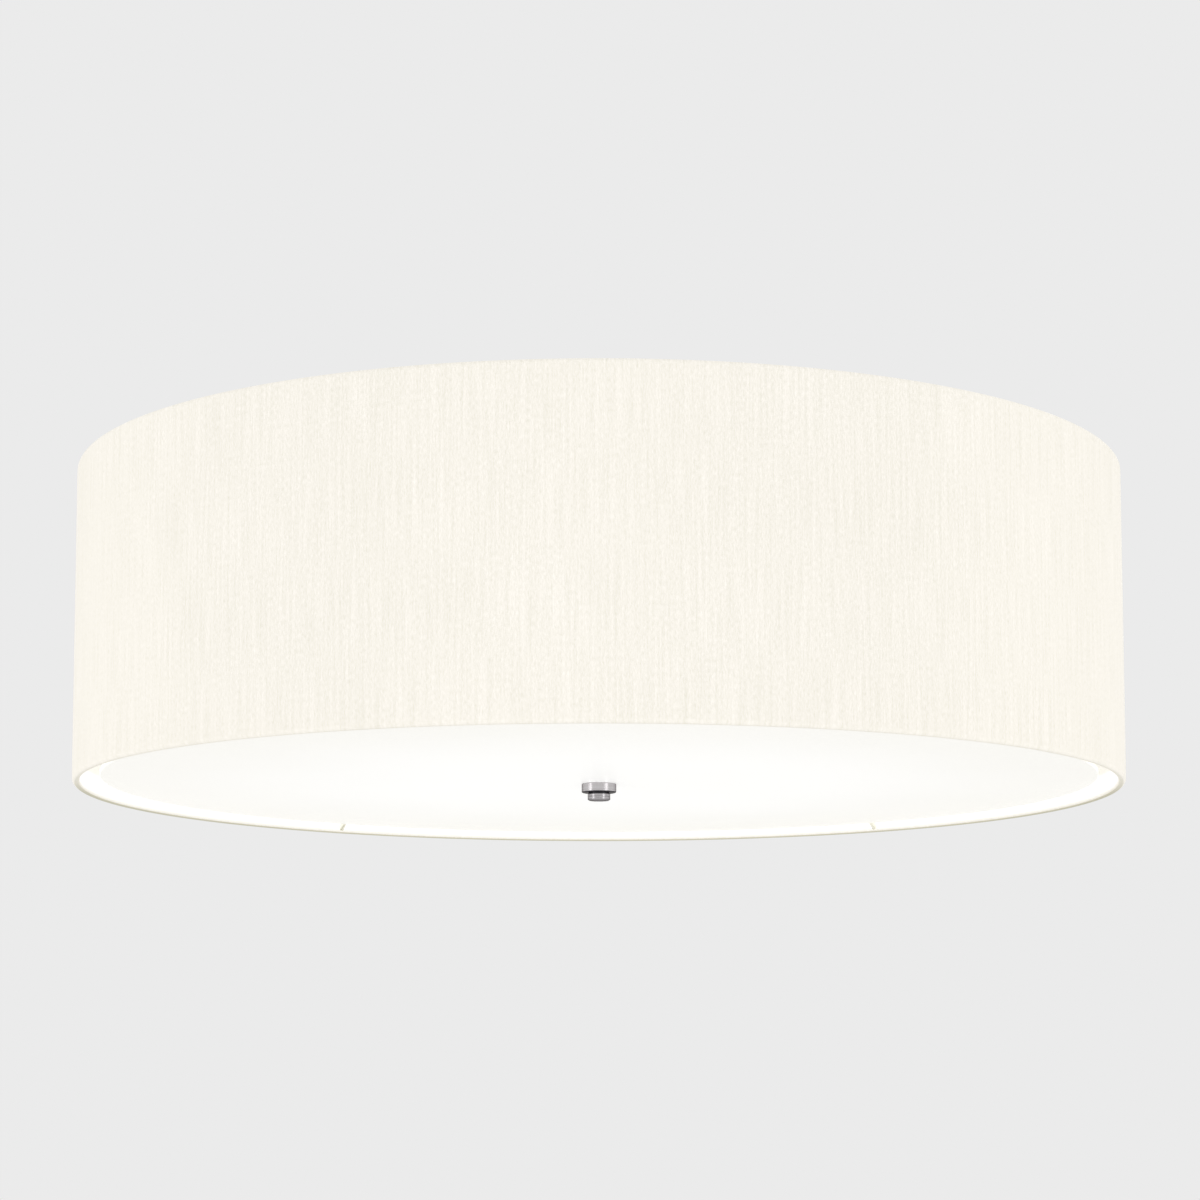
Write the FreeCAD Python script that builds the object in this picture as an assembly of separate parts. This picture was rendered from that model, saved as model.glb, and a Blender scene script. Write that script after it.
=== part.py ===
"""Flush mount ceiling light with a fabric drum shade, an opal diffuser and a turned finial.

Row frame, in millimetres: the ceiling is the plane z = 0, +Z points up into it, and the
light hangs below. The origin is the centre of the mounting bracket's slots. +Y points to
the side where the fabric has its seam.
"""
import FreeCAD, Part
import math
import os

V = FreeCAD.Vector
UP = V(0, 0, 1)
ORIGIN = V(0, 0, 0)

# ---------------------------------------------------------------- shade
shade_diameter = 600.0
shade_height = 180.0
ceiling_gap = 5.0            # from the ceiling to the top hem
fabric_thickness = 0.4
seam_lap_width = 10.0
seam_angle = 85.5            # degrees about Z, where the fabric's ends lap
liner_thickness = 0.6
ring_wire_diameter = 3.0
wrap_clearance = 0.3         # from a wire ring to the fabric wrapped round it
liner_end_gap = 0.15         # between a wire ring and the edge of the liner
tuck_height = 12.0           # how far the turned-in fabric reaches past the ring's centre
tuck_lean = 30.0             # degrees from upright, where the fabric leaves the ring

# ---------------------------------------------------------------- spider in the bottom ring
spoke_count = 5
first_spoke_angle = -91.3    # degrees about Z; the first spoke points away from the seam
spoke_diameter = 3.0
spoke_rise = 36.0            # degrees above level, from the ring to the bend
spoke_bend_radius = 9.0
slit_clearance = 0.7         # between a spoke and the slit in the hem
hub_diameter = 26.0
hub_height = 5.0
hub_nut_across_flats = 13.0
hub_nut_height = 4.0

# ---------------------------------------------------------------- diffuser and finial
diffuser_side_gap = 10.9     # from the hem's inner side to the diffuser's edge
diffuser_thickness = 3.0
diffuser_recess = 4.6        # from the bottom hem up to the diffuser's lower face
diffuser_edge_radius = 0.8
diffuser_hole_diameter = 9.2
gasket_diameter = 28.0
gasket_thickness = 2.0
collar_diameter = 20.0
collar_height = 5.0
collar_bore_diameter = 8.6
knob_diameter = 13.0
knob_height = 4.8
knob_neck_depth = 0.5        # how much narrower the knob is where it meets the collar
knob_neck_height = 1.0
knob_thread_depth = 3.0
knob_bore_spare = 0.3        # from the stem's end to the bottom of the bore
turned_chamfer = 0.3
knob_edge_chamfer = 0.8      # round the knob's lower face

# ---------------------------------------------------------------- stem
stem_diameter = 8.0
thread_clearance = 0.05      # radial, between a male thread and its nut
stem_hole_clearance = 0.25   # radial, in plain holes
stem_spare = 2.0             # stem standing out of its top nut
stem_nut_across_flats = 13.0
stem_nut_height = 6.5
washer_diameter = 16.0
washer_thickness = 1.2

# ---------------------------------------------------------------- ceiling pan and bracket
pan_depth = 26.0
pan_floor_diameter = 292.0
pan_wall_spread = 10.0       # how much further out the wall is at the ceiling
pan_flange_width = 8.0
pan_thickness = 1.0
pan_bend_radius = 4.0
pan_bead_diameter = 220.0
pan_bead_width = 16.0
pan_bead_height = 2.5
bracket_length = 150.0
bracket_width = 24.0
bracket_thickness = 2.0
bracket_edge_height = 6.0
bracket_bend_radius = 2.5
slot_spacing = 76.0
slot_length = 24.0
slot_width = 5.0
pan_screw_spacing = 124.0
pan_screw_diameter = 4.0
pan_screw_head_diameter = 8.5
pan_screw_head_height = 3.2
pan_screw_end_gap = 0.3      # from the screw's end to the ceiling
pan_screw_washer_diameter = 12.0

# ---------------------------------------------------------------- lampholders
lamp_count = 4
first_lamp_angle = 45.0      # degrees about Z, so that the pan's screws lie between the lamps
carrier_thickness = 1.5
carrier_arm_width = 28.0
carrier_bend_radius = 3.5
carrier_seat_radius = 31.5   # from the stem's axis to the lampholders' rear faces
lamp_axis_drop = 36.0        # from the pan's underside down to the lamps' axes
holder_length = 48.0
holder_diameter = 38.0
holder_neck_diameter = 18.0
holder_neck_length = 7.0
holder_shoulder_length = 10.0
holder_lip_diameter = 41.0
holder_lip_height = 4.0
socket_depth = 27.0
sleeve_thickness = 0.6
sleeve_length = 23.0
sleeve_clearance = 0.35      # radial, between the lamp's cap and the sleeve
contact_thickness = 0.6
contact_width = 5.0
contact_length = 12.0
contact_gap = 0.3            # from the lamp's contact to the spring contact
nipple_diameter = 10.0
nipple_bore_diameter = 6.0
nipple_engagement = 6.0      # thread inside the lampholder's neck
nipple_reach = 7.0           # thread standing out on the stem's side of the carrier
nipple_hole_clearance = 0.2
nipple_nut_across_flats = 14.0
nipple_nut_height = 3.0

# ---------------------------------------------------------------- lamps
lamp_cap_diameter = 26.1
lamp_contact_diameter = 8.4
lamp_contact_height = 1.4
lamp_insulator_height = 3.2
lamp_mouth_gap = 0.5         # from the lampholder's mouth to the lamp's housing
lamp_housing_length = 31.5
lamp_housing_start_diameter = 27.2
lamp_globe_diameter = 60.0
lamp_globe_seat_diameter = 55.6
lamp_globe_shoulder = 16.0   # from the housing to the globe's widest section
lamp_globe_thickness = 1.5

# ---------------------------------------------------------------- wiring
lead_diameter = 4.0
lead_bend_radius = 6.0
pole_pitch = 13.0            # the leads rise at this distance from the stem in X and in Y
pole_count = 5
pole_width = 10.6
block_depth = 20.0
block_height = 16.0
block_web_height = 9.0
block_front = 42.0           # from the stem's axis to the side where the leads enter
block_foot_length = 9.0
block_foot_height = 2.5
block_entry_clearance = 0.2
block_entry_depth = 5.0
terminal_screw_diameter = 4.2
terminal_screw_height = 2.0
terminal_screw_slot = 0.9
terminal_screw_inset = 5.5
small_screw_diameter = 3.0
small_screw_head_diameter = 6.0
small_screw_head_height = 2.2
lead_run_height = 10.0       # from the pan's floor up to the leads' axes
grommet_flange_diameter = 8.2
grommet_flange_thickness = 1.2
grommet_neck_diameter = 6.6
grommet_bore_clearance = 0.1
earth_lug_length = 20.0
earth_lug_width = 8.0
earth_lug_thickness = 1.0
earth_barrel_wall = 0.8
earth_barrel_height = 3.0
earth_run_length = 9.0       # from the terminal block back to the earth lug

# ---------------------------------------------------------------- levels and radii that follow
shade_radius = shade_diameter / 2
fabric_inner_radius = shade_radius - fabric_thickness
liner_inner_radius = fabric_inner_radius - liner_thickness
wire_radius = ring_wire_diameter / 2
wrap_radius = wire_radius + wrap_clearance
hem_radius = wrap_radius + fabric_thickness
ring_radius = shade_radius - hem_radius
diffuser_radius = ring_radius - hem_radius - diffuser_side_gap
rim_level = -ceiling_gap - shade_height
bottom_ring_level = rim_level + hem_radius
top_ring_level = -ceiling_gap - hem_radius

stem_radius = stem_diameter / 2
stem_hole_radius = stem_radius + stem_hole_clearance
nut_bore_radius = stem_radius + thread_clearance
diffuser_level = rim_level + diffuser_recess
gasket_level = diffuser_level + diffuser_thickness
hub_nut_level = gasket_level + gasket_thickness
hub_level = hub_nut_level + hub_nut_height
hub_top_level = hub_level + hub_height
spoke_level = hub_level + hub_height / 2
collar_level = diffuser_level - collar_height
knob_level = collar_level - knob_height
stem_end_level = collar_level - knob_thread_depth

pan_floor_level = -pan_depth
pan_inside_level = pan_floor_level + pan_thickness
carrier_level = pan_floor_level - carrier_thickness
stem_top_level = pan_inside_level + washer_thickness + stem_nut_height + stem_spare
lamp_axis_level = pan_floor_level - lamp_axis_drop
lead_run_level = pan_inside_level + lead_run_height
lead_radius = lead_diameter / 2
sleeve_inner_radius = lamp_cap_diameter / 2 + sleeve_clearance
sleeve_outer_radius = sleeve_inner_radius + sleeve_thickness
lamp_contact_place = holder_length - socket_depth + contact_thickness + contact_gap
lamp_housing_place = holder_length + lamp_mouth_gap
lamp_globe_place = lamp_housing_place + lamp_housing_length


# ---------------------------------------------------------------- shared forms
def flat(point, plane):
    """A profile's (first, second) coordinates as a point of the XZ or YZ plane."""
    first, second = point
    return V(first, 0, second) if plane == "XZ" else V(0, first, second)


def outline(start, *moves, plane="XZ"):
    """A face bounded by lines and arcs: a move is an end point, or (middle, end) of an arc."""
    edges = []
    here = start
    for move in moves + (start,):
        is_arc = isinstance(move[0], tuple)
        end = move[1] if is_arc else move
        if is_arc:
            arc = Part.Arc(flat(here, plane), flat(move[0], plane), flat(end, plane))
            edges.append(arc.toShape())
        elif math.dist(here, end) > 1e-9:
            edges.append(Part.makeLine(flat(here, plane), flat(end, plane)))
        here = end
    return Part.Face(Part.Wire(edges))


def turned(start, *moves):
    """A solid of revolution about Z from a profile of (radius, height) points."""
    return outline(start, *moves).revolve(ORIGIN, UP, 360)


def dome(edge_radius, edge_level, tip_level):
    """The move of a spherical dome from its edge to its tip on the Z axis."""
    rise = tip_level - edge_level
    ball = (edge_radius ** 2 + rise ** 2) / (2 * rise)
    middle = edge_radius / 2
    drop = ball - math.copysign(math.sqrt(ball ** 2 - middle ** 2), ball)
    return (middle, tip_level - drop), (0, tip_level)


def ring(inner, outer, low, high, chamfer=0.0):
    """A round washer-like solid, with its outer edges chamfered where that is asked for."""
    c = min(chamfer, (outer - inner) / 3, (high - low) / 3)
    return turned((inner, low), (outer - c, low), (outer, low + c), (outer, high - c),
                  (outer - c, high), (inner, high))


def hex_nut(across_flats, bore_radius, low, high):
    """A hexagon nut about Z with its corners turned off on both faces."""
    corner = across_flats / math.sqrt(3)
    points = [V(corner * math.cos(k * math.pi / 3), corner * math.sin(k * math.pi / 3), low)
              for k in range(7)]
    prism = Part.Face(Part.makePolygon(points)).extrude(V(0, 0, high - low))
    cone = corner - across_flats / 2
    drop = cone * math.tan(math.radians(30))
    turning = turned((bore_radius, low), (across_flats / 2, low), (corner, low + drop),
                     (corner, high - drop), (across_flats / 2, high), (bore_radius, high))
    return prism.common(turning)


def rounded_corner(before, corner, after, radius):
    """Where a corner's arc starts, its middle and where it ends."""
    a = (before - corner).normalize()
    b = (after - corner).normalize()
    half = a.getAngle(b) / 2
    reach = radius / math.tan(half)
    centre = corner + (a + b).normalize() * (radius / math.sin(half))
    middle = centre + (corner - centre).normalize() * radius
    return corner + a * reach, middle, corner + b * reach


def rounded_path(points, radii):
    """A wire of straight runs joined by tangent arcs, one radius for each inner point."""
    edges = []
    here = points[0]
    for k, radius in enumerate(radii, start=1):
        start, middle, end = rounded_corner(points[k - 1], points[k], points[k + 1], radius)
        edges.append(Part.makeLine(here, start))
        edges.append(Part.Arc(start, middle, end).toShape())
        here = end
    edges.append(Part.makeLine(here, points[-1]))
    return Part.Wire(edges)


def round_bar(points, radius, bends):
    """A wire, rod or lead of round section along a path with rounded corners."""
    path = rounded_path(points, bends)
    section = Part.Wire(Part.makeCircle(radius, points[0], points[1] - points[0]))
    return path.makePipeShell([section], True, False)


def side_step(points, thickness):
    """The same polyline of (first, second) points, moved to its left by a thickness."""
    moved = []
    for k, point in enumerate(points):
        near = [points[max(k - 1, 0)], point, points[min(k + 1, len(points) - 1)]]
        runs = [(b[0] - a[0], b[1] - a[1]) for a, b in zip(near, near[1:]) if a != b]
        normals = [(-y / math.hypot(x, y), x / math.hypot(x, y)) for x, y in runs]
        nx = sum(n[0] for n in normals) / len(normals)
        ny = sum(n[1] for n in normals) / len(normals)
        scale = thickness / (nx * nx + ny * ny)
        moved.append((point[0] + nx * scale, point[1] + ny * scale))
    return moved


def bent_strip(points, bend_radius, thickness, plane="XZ"):
    """The face between a polyline and the same line a thickness to its left, bends rounded."""
    left = side_step(points, thickness)
    turns = [(b[0] - a[0]) * (c[1] - b[1]) - (b[1] - a[1]) * (c[0] - b[0])
             for a, b, c in zip(points, points[1:], points[2:])]
    near = [bend_radius if turn > 0 else bend_radius - thickness for turn in turns]
    far = [bend_radius - thickness if turn > 0 else bend_radius for turn in turns]
    first = rounded_path([flat(p, plane) for p in points], near)
    second = rounded_path([flat(p, plane) for p in left], far)
    ends = [Part.makeLine(flat(points[k], plane), flat(left[k], plane)) for k in (0, -1)]
    return Part.Face(Part.Wire(Part.__sortEdges__(first.Edges + second.Edges + ends)))


def drilled(shape, radius, low, high, *places):
    """The shape with upright round holes at (x, y) places."""
    for x, y in places:
        shape = shape.cut(Part.makeCylinder(radius, high - low, V(x, y, low)))
    return shape


def about_axis(shape, degrees):
    """A copy turned about the stem's axis."""
    copy = shape.copy()
    copy.rotate(ORIGIN, UP, degrees)
    return copy


def lamp_angle(number):
    """Degrees about Z of one lamp's arm."""
    return first_lamp_angle + number * 360.0 / lamp_count


def on_arm(shape, number):
    """A shape made about Z, laid on the axis of one lamp with its foot at the carrier."""
    copy = shape.copy()
    copy.rotate(ORIGIN, V(0, 1, 0), 90)
    copy.translate(V(carrier_seat_radius, 0, lamp_axis_level))
    return about_axis(copy, lamp_angle(number))


def moved(shape, x, y, z):
    """A copy moved by x, y and z."""
    copy = shape.copy()
    copy.translate(V(x, y, z))
    return copy


def screw(radius, head_radius, head_height, head_level, end_level, place):
    """A pan-headed screw: its head starts at head_level and its shank ends at end_level."""
    side = 1 if head_level > end_level else -1
    low, high = sorted((head_level, end_level))
    x, y = place
    shank = Part.makeCylinder(radius, high - low, V(x, y, low))
    rise = side * head_height
    edge = head_level + rise * 0.45
    head = turned((0, head_level), (head_radius, head_level), (head_radius, edge),
                  dome(head_radius, edge, head_level + rise))
    slot = Part.makeBox(4 * head_radius, head_radius * 0.28, head_height * 0.45)
    slot.translate(V(-2 * head_radius, -head_radius * 0.14,
                     head_level + rise * 0.55 if side > 0 else head_level + rise))
    return shank.fuse(moved(head.cut(slot), x, y, 0)).removeSplitter()


# ---------------------------------------------------------------- shade
def hem_side(level, side):
    """Points of the turned-in fabric at one ring: side is 1 at the bottom and -1 at the top."""
    lean = math.radians(tuck_lean)

    def on_ring(radius):
        return (ring_radius - radius * math.cos(lean), level + side * radius * math.sin(lean))

    def meets(start, radius):
        return (radius, start[1] + side * (radius - start[0]) / math.tan(lean))

    outer_start, inner_start = on_ring(hem_radius), on_ring(wrap_radius)
    tuck_radius = liner_inner_radius - fabric_thickness
    end = level + side * tuck_height
    return {
        "outer": [outer_start, meets(outer_start, tuck_radius), (tuck_radius, end)],
        "inner": [(liner_inner_radius, end), meets(inner_start, liner_inner_radius), inner_start],
        "outer_tip": (ring_radius, level - side * hem_radius),
        "inner_tip": (ring_radius, level - side * wrap_radius),
    }


def spoke_slope():
    """The unit step along a spoke as it leaves the bottom ring: inwards and up."""
    rise = math.radians(spoke_rise)
    return V(-math.cos(rise), 0, math.sin(rise))


def make_fabric():
    """The outer fabric, wrapped round both wire rings, with a slit for each spoke."""
    low, high = hem_side(bottom_ring_level, 1), hem_side(top_ring_level, -1)
    wall = turned(
        (shade_radius, top_ring_level), (shade_radius, bottom_ring_level),
        (low["outer_tip"], low["outer"][0]), *low["outer"][1:], *low["inner"],
        (low["inner_tip"], (fabric_inner_radius, bottom_ring_level)),
        (fabric_inner_radius, top_ring_level), (high["inner_tip"], high["inner"][2]),
        high["inner"][1], high["inner"][0], high["outer"][2], high["outer"][1],
        high["outer"][0], (high["outer_tip"], (shade_radius, top_ring_level)))
    slope = spoke_slope()
    start = V(ring_radius, 0, bottom_ring_level)
    slit_radius = spoke_diameter / 2 + slit_clearance
    slit = Part.makeCylinder(slit_radius, tuck_height, start, slope)
    for k in range(spoke_count):
        wall = wall.cut(about_axis(slit, spoke_angle(k)))
    lap = outline((shade_radius, bottom_ring_level), (shade_radius + fabric_thickness,
                  bottom_ring_level), (shade_radius + fabric_thickness, top_ring_level),
                  (shade_radius, top_ring_level))
    width = math.degrees(seam_lap_width / shade_radius)
    return wall.fuse(about_axis(lap.revolve(ORIGIN, UP, width), seam_angle - width / 2))


def make_liner():
    """The stiff laminate that the fabric is bonded to, between the two wire rings."""
    low = bottom_ring_level + wire_radius + liner_end_gap
    high = top_ring_level - wire_radius - liner_end_gap
    return ring(liner_inner_radius, fabric_inner_radius, low, high)


def make_wire_ring(level):
    """One of the two wire rings that hold the drum round."""
    return Part.makeTorus(ring_radius, wire_radius, V(0, 0, level))


def spoke_angle(number):
    """Degrees about Z of one spoke."""
    return first_spoke_angle + number * 360.0 / spoke_count


def make_hub():
    """The spider's hub, which the stem passes through."""
    return ring(stem_hole_radius, hub_diameter / 2, hub_level, hub_top_level, turned_chamfer)


def make_spokes():
    """The spider's wires: up from the bottom ring, over the diffuser and level to the hub."""
    rise = spoke_level - bottom_ring_level
    bend_radius_out = ring_radius - rise / math.tan(math.radians(spoke_rise))
    points = [V(ring_radius, 0, bottom_ring_level), V(bend_radius_out, 0, spoke_level),
              V(hub_diameter / 2 - 1, 0, spoke_level)]
    bar = round_bar(points, spoke_diameter / 2, [spoke_bend_radius])
    core = Part.makeCylinder(hub_diameter / 2, 3 * hub_height, V(0, 0, hub_level - hub_height))
    bar = bar.cut(core).cut(make_wire_ring(bottom_ring_level))
    return [about_axis(bar, spoke_angle(k)) for k in range(spoke_count)]


# ---------------------------------------------------------------- diffuser and finial
def make_diffuser():
    """The flat opal disc with a rounded edge."""
    radius, high = diffuser_radius, diffuser_level + diffuser_thickness
    r = min(diffuser_edge_radius, diffuser_thickness * 0.45)
    k = r * (1 - math.sqrt(0.5))
    hole = diffuser_hole_diameter / 2
    return turned((hole, diffuser_level), (radius - r, diffuser_level),
                  ((radius - k, diffuser_level + k), (radius, diffuser_level + r)),
                  (radius, high - r), ((radius - k, high - k), (radius - r, high)),
                  (hole, high))


def make_collar():
    """The wide turned collar of the finial, with a shallow recess on its hidden face."""
    radius, top = collar_diameter / 2, collar_level + collar_height
    c = min(turned_chamfer, collar_height / 4)
    bore = collar_bore_diameter / 2
    relief_radius = (radius + bore) / 2
    relief = collar_height * 0.12
    return turned((bore, collar_level), (radius - c, collar_level), (radius, collar_level + c),
                  (radius, top - c), (radius - c, top), (relief_radius, top),
                  (relief_radius, top - relief), (bore, top - relief))


def make_knob():
    """The finial's knob: a blind threaded bore above and a slightly domed face below."""
    radius, c = knob_diameter / 2, min(knob_edge_chamfer, knob_height / 4)
    bore_top = stem_end_level - knob_bore_spare
    neck_radius = radius - knob_neck_depth
    neck_level = collar_level - knob_neck_height
    edge = knob_level + knob_height * 0.1
    return turned((0, bore_top), (nut_bore_radius, bore_top), (nut_bore_radius, collar_level),
                  (neck_radius, collar_level), (neck_radius, neck_level + knob_neck_depth),
                  (radius, neck_level), (radius, edge + c), (radius - c, edge),
                  dome(radius - c, edge, knob_level))


# ---------------------------------------------------------------- stem, pan and bracket
def make_stem():
    """The threaded rod that carries the shade, the diffuser and the finial."""
    c = min(0.8, knob_thread_depth / 3)
    r = stem_radius
    return turned((0, stem_end_level), (r - c, stem_end_level), (r, stem_end_level + c),
                  (r, stem_top_level - c), (r - c, stem_top_level), (0, stem_top_level))


def make_stem_nuts():
    """The nut above the pan's floor and the nut below the carrier, each against a washer."""
    high = pan_inside_level + washer_thickness
    low = carrier_level - washer_thickness
    upper = hex_nut(stem_nut_across_flats, nut_bore_radius, high, high + stem_nut_height)
    lower = hex_nut(stem_nut_across_flats, nut_bore_radius, low - stem_nut_height, low)
    return upper, lower


def make_stem_washers():
    """The two flat washers that go with the stem's nuts."""
    outer = washer_diameter / 2
    return [ring(nut_bore_radius, outer, pan_inside_level, pan_inside_level + washer_thickness),
            ring(nut_bore_radius, outer, carrier_level - washer_thickness, carrier_level)]


def pan_screw_places():
    """Centres of the two screws that hang the pan from the bracket."""
    return [(side * pan_screw_spacing / 2, 0) for side in (-1, 1)]


def lead_places():
    """Centres of the grommets through which the leads rise, one over each arm."""
    reach = pole_pitch * math.sqrt(2)
    angles = [math.radians(lamp_angle(k)) for k in range(lamp_count)]
    return [(reach * math.cos(a), reach * math.sin(a)) for a in angles]


def make_pan():
    """The stamped steel pan: a flange on the ceiling, a sloped wall and a beaded floor."""
    floor = pan_floor_diameter / 2
    wall_top = floor + pan_wall_spread
    bead = pan_bead_diameter / 2
    half = pan_bead_width / 2
    step = pan_bead_height
    low = pan_floor_level
    points = [(stem_radius, low), (bead - half, low), (bead - half + step, low + step),
              (bead + half - step, low + step), (bead + half, low), (floor, low),
              (wall_top, -pan_thickness), (wall_top + pan_flange_width, -pan_thickness)]
    pan = bent_strip(points, pan_bend_radius, pan_thickness).revolve(ORIGIN, UP, 360)
    top = pan_inside_level + 1
    pan = drilled(pan, stem_hole_radius, low - 1, top, (0, 0))
    pan = drilled(pan, pan_screw_diameter / 2 + 0.3, low - 1, top, *pan_screw_places())
    pan = drilled(pan, grommet_neck_diameter / 2, low - 1, top, *lead_places())
    pan = drilled(pan, small_screw_diameter / 2, low - 1, top, *block_screw_places())
    return drilled(pan, small_screw_diameter / 2, low - 1, top, earth_screw_place())


def make_bracket():
    """The steel strap that is screwed to the ceiling, with its long edges turned down."""
    half, drop = bracket_width / 2, bracket_edge_height
    points = [(half, -drop), (half, 0), (-half, 0), (-half, -drop)]
    strap = bent_strip(points, bracket_bend_radius, bracket_thickness, plane="YZ")
    strap = strap.extrude(V(bracket_length, 0, 0))
    strap.translate(V(-bracket_length / 2, 0, 0))
    low = -2 * drop
    for side in (-1, 1):
        centre = side * slot_spacing / 2
        reach = (slot_length - slot_width) / 2
        slot = Part.makeBox(2 * reach, slot_width, 3 * drop, V(centre - reach, -slot_width / 2, low))
        for end in (-reach, reach):
            slot = slot.fuse(Part.makeCylinder(slot_width / 2, 3 * drop, V(centre + end, 0, low)))
        strap = strap.cut(slot)
    return drilled(strap, pan_screw_diameter / 2, low, drop, *pan_screw_places())


def make_pan_screws():
    """The two screws that hang the pan from the bracket."""
    head_level = pan_floor_level - washer_thickness
    return [screw(pan_screw_diameter / 2, pan_screw_head_diameter / 2, pan_screw_head_height,
                  head_level, -pan_screw_end_gap, place) for place in pan_screw_places()]


def make_pan_screw_washers():
    """The washers under the heads of the pan's screws."""
    washer = ring(pan_screw_diameter / 2, pan_screw_washer_diameter / 2,
                  pan_floor_level - washer_thickness, pan_floor_level)
    return [moved(washer, x, y, 0) for x, y in pan_screw_places()]


# ---------------------------------------------------------------- lampholders and lamps
def make_carrier():
    """The star-shaped steel carrier: one bent arm for each lampholder, clamped by the stem."""
    half = carrier_arm_width / 2
    points = [(0, pan_floor_level), (carrier_seat_radius, pan_floor_level),
              (carrier_seat_radius, lamp_axis_level - half)]
    arm = bent_strip(points, carrier_bend_radius + carrier_thickness, -carrier_thickness)
    arm = arm.extrude(V(0, carrier_arm_width, 0))
    arm.translate(V(0, -half, 0))
    reach = 2 * carrier_seat_radius
    tombstone = Part.makeBox(reach, carrier_arm_width, lamp_axis_drop + 1,
                             V(-1, -half, lamp_axis_level))
    tombstone = tombstone.fuse(Part.makeCylinder(half, reach, V(-1, 0, lamp_axis_level),
                                                 V(1, 0, 0)))
    hole = Part.makeCylinder(nipple_diameter / 2 + nipple_hole_clearance, reach,
                             V(carrier_seat_radius / 2, 0, lamp_axis_level), V(1, 0, 0))
    arm = arm.common(tombstone).cut(hole)
    arms = [about_axis(arm, lamp_angle(k)) for k in range(lamp_count)]
    star = arms[0].multiFuse(arms[1:]).removeSplitter()
    low, high = carrier_level - 1, pan_floor_level + 1
    star = drilled(star, stem_hole_radius, low, high, (0, 0))
    return drilled(star, grommet_neck_diameter / 2, low, high, *lead_places())


def make_holder():
    """A lampholder's moulded body, rear face at z = 0 and mouth at the holder's length."""
    neck, body, lip = (d / 2 for d in (holder_neck_diameter, holder_diameter,
                                       holder_lip_diameter))
    shoulder = holder_neck_length + holder_shoulder_length
    curve = (neck + (body - neck) * 0.72, holder_neck_length + holder_shoulder_length * 0.30)
    socket_floor = holder_length - socket_depth
    lip_low = holder_length - holder_lip_height
    nipple = nipple_diameter / 2
    edge = holder_lip_height * 0.3
    return turned((nipple, 0), (neck, 0), (neck, holder_neck_length),
                  (curve, (body, shoulder)), (body, lip_low - edge), (lip, lip_low),
                  (lip, holder_length - edge), (lip - edge, holder_length),
                  (sleeve_outer_radius, holder_length), (sleeve_outer_radius, socket_floor),
                  (0, socket_floor), (0, nipple_engagement), (nipple, nipple_engagement))


def make_sleeve():
    """The screw sleeve in a lampholder's mouth."""
    high = holder_length - 1
    return ring(sleeve_inner_radius, sleeve_outer_radius, high - sleeve_length, high)


def make_contact():
    """The centre contact on a lampholder's socket floor."""
    low = holder_length - socket_depth
    half = min(contact_length / 2, sleeve_inner_radius - 1)
    strip = Part.makeBox(2 * half, contact_width, contact_thickness,
                         V(-half, -contact_width / 2, low))
    return strip


def make_nipple():
    """The threaded tube that joins a lampholder to the carrier."""
    return ring(nipple_bore_diameter / 2, nipple_diameter / 2,
                -carrier_thickness - nipple_reach, nipple_engagement)


def make_nipple_nut():
    """The thin nut on the stem's side of the carrier."""
    high = -carrier_thickness
    return hex_nut(nipple_nut_across_flats, nipple_diameter / 2, high - nipple_nut_height, high)


def make_lamp_contact():
    """The button in the middle of a lamp's cap."""
    radius, tip = lamp_contact_diameter / 2, lamp_contact_place
    base = tip + lamp_contact_height
    return turned((0, base), (radius, base), (radius, tip + lamp_contact_height / 2),
                  dome(radius, tip + lamp_contact_height / 2, tip))


def make_lamp_cap():
    """A lamp's screw cap: the insulating cone round the contact and the shell."""
    base = lamp_contact_place + lamp_contact_height
    inner, shell = lamp_contact_diameter / 2 + 0.6, lamp_cap_diameter / 2
    cone = base + lamp_insulator_height
    end = lamp_housing_place
    return turned((0, base), (inner, base), (shell - 2.2, cone - 0.4), (shell - 0.8, cone),
                  (shell, cone + 1.2), (shell, end), (0, end))


def make_lamp_housing():
    """A lamp's moulded housing, which flares from the cap to the globe."""
    start, end = lamp_housing_start_diameter / 2, lamp_globe_seat_diameter / 2
    low, high = lamp_housing_place, lamp_globe_place
    middle = (start + (end - start) * 0.42, low + lamp_housing_length * 0.52)
    return turned((0, low), (start, low), (start, low + 2), (middle, (end, high - 1)),
                  (end, high), (0, high))


def make_globe():
    """A lamp's hollow opal globe, seated on the housing."""
    low, wide = lamp_globe_place, lamp_globe_place + lamp_globe_shoulder
    seat, radius, wall = lamp_globe_seat_diameter / 2, lamp_globe_diameter / 2, lamp_globe_thickness
    bulge = seat + (radius - seat) * 0.75

    def half_ball(r):
        return (r * math.sqrt(0.5), wide + r * math.sqrt(0.5)), (0, wide + r)

    inner = radius - wall
    return turned((seat - wall, low), (seat, low), ((bulge, (low + wide) / 2), (radius, wide)),
                  half_ball(radius), (0, wide + inner),
                  ((inner * math.sqrt(0.5), wide + inner * math.sqrt(0.5)), (inner, wide)),
                  ((bulge - wall, (low + wide) / 2), (seat - wall, low)))


# ---------------------------------------------------------------- wiring
def pole_places():
    """Centres across X of the terminal block's poles."""
    return [(k - (pole_count - 1) / 2) * pole_pitch for k in range(pole_count)]


def block_screw_places():
    """Centres of the two screws in the terminal block's feet."""
    reach = pole_places()[-1] + pole_width / 2 + block_foot_length / 2
    return [(side * reach, block_front + block_depth / 2) for side in (-1, 1)]


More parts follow.
